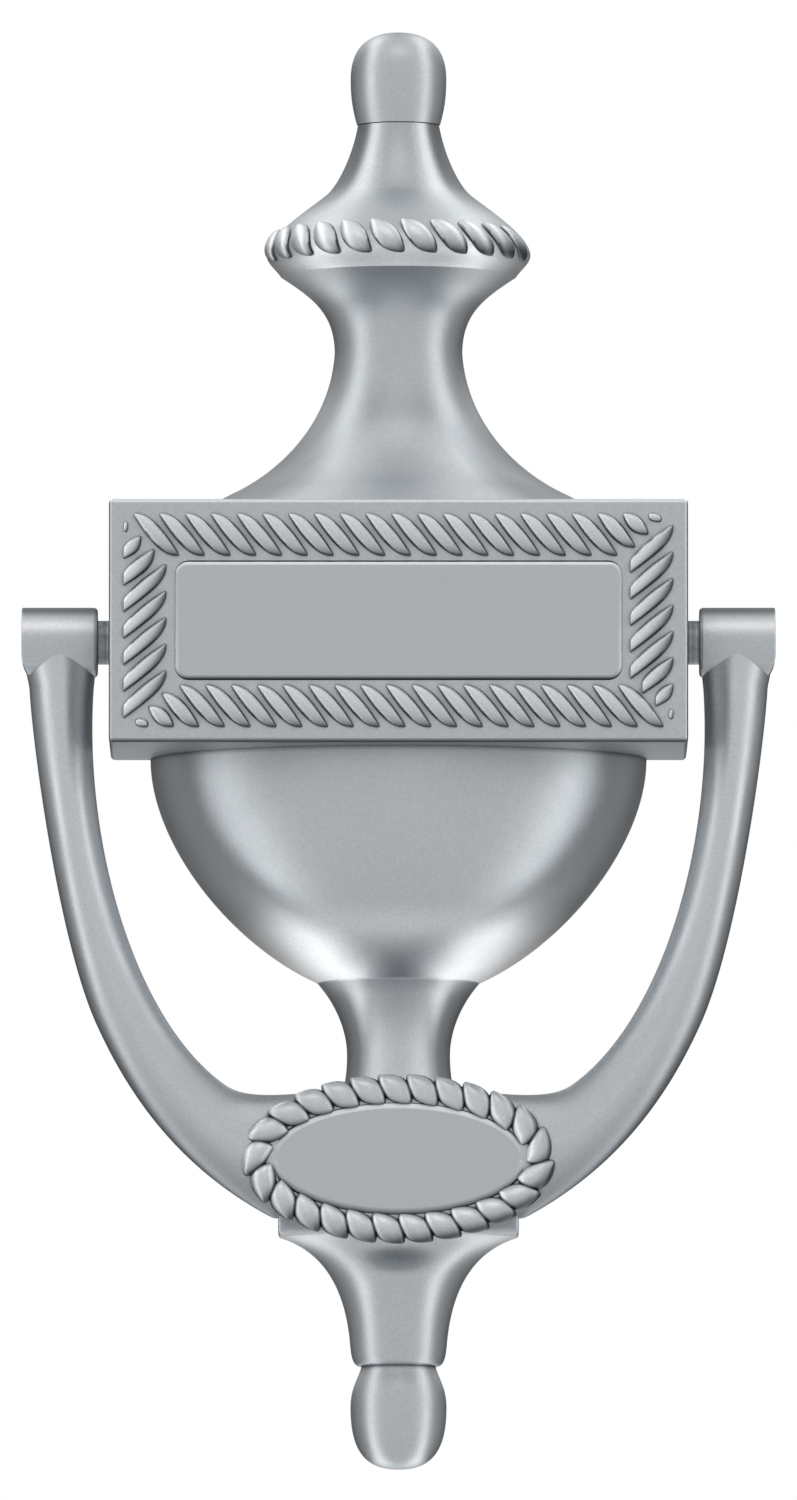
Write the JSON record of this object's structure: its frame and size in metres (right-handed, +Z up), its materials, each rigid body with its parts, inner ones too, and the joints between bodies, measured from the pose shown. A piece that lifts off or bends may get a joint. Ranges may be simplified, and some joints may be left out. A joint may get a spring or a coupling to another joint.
{
  "type": "door knocker",
  "caption": "Urn-shaped door knocker with rope-edged block and collar, a blank name plate, and a hinged U-shaped striker with an oval rope-edged medallion.",
  "frame": {"origin": "on the door plane, on the centre line, at the height of the pivot axis: a point on the casting's back rib", "axes": "+Z up, front towards -Y, +Y into the door, +X to the right as seen from the front"},
  "size_m": [0.101, 0.0775, 0.1942],
  "materials": {
    "satin_nickel_casting": "cast brass with fine bead-blasted satin nickel plate, silver grey",
    "satin_nickel_plate": "flat rolled brass plate with smooth satin nickel plate, silver grey",
    "pin_steel": "turned steel, a little darker than the castings",
    "zinc_steel": "bright zinc-plated steel"
  },
  "bodies": {
    "backplate": {"urn_body": "satin_nickel_casting", "name_plate": "satin_nickel_plate", "pivot_pin_right": "pin_steel", "pivot_pin_left": "pin_steel", "lock_nut_right": "zinc_steel", "lock_nut_left": "zinc_steel", "mounting_bolt_upper": "zinc_steel", "mounting_bolt_lower": "zinc_steel", "cup_washer_upper": "satin_nickel_casting", "cup_washer_lower": "satin_nickel_casting"},
    "knocker": {"knocker_bail": "satin_nickel_casting", "medallion_plate": "satin_nickel_plate", "strike_button": "pin_steel"}
  },
  "joints": [
    {"name": "knocker_hinge", "type": "hinge", "parent": "backplate", "child": "knocker", "pos_m": [0, -0.0142, 0], "axis": [-1, 0, 0], "range_deg": [0, 170]}
  ]
}
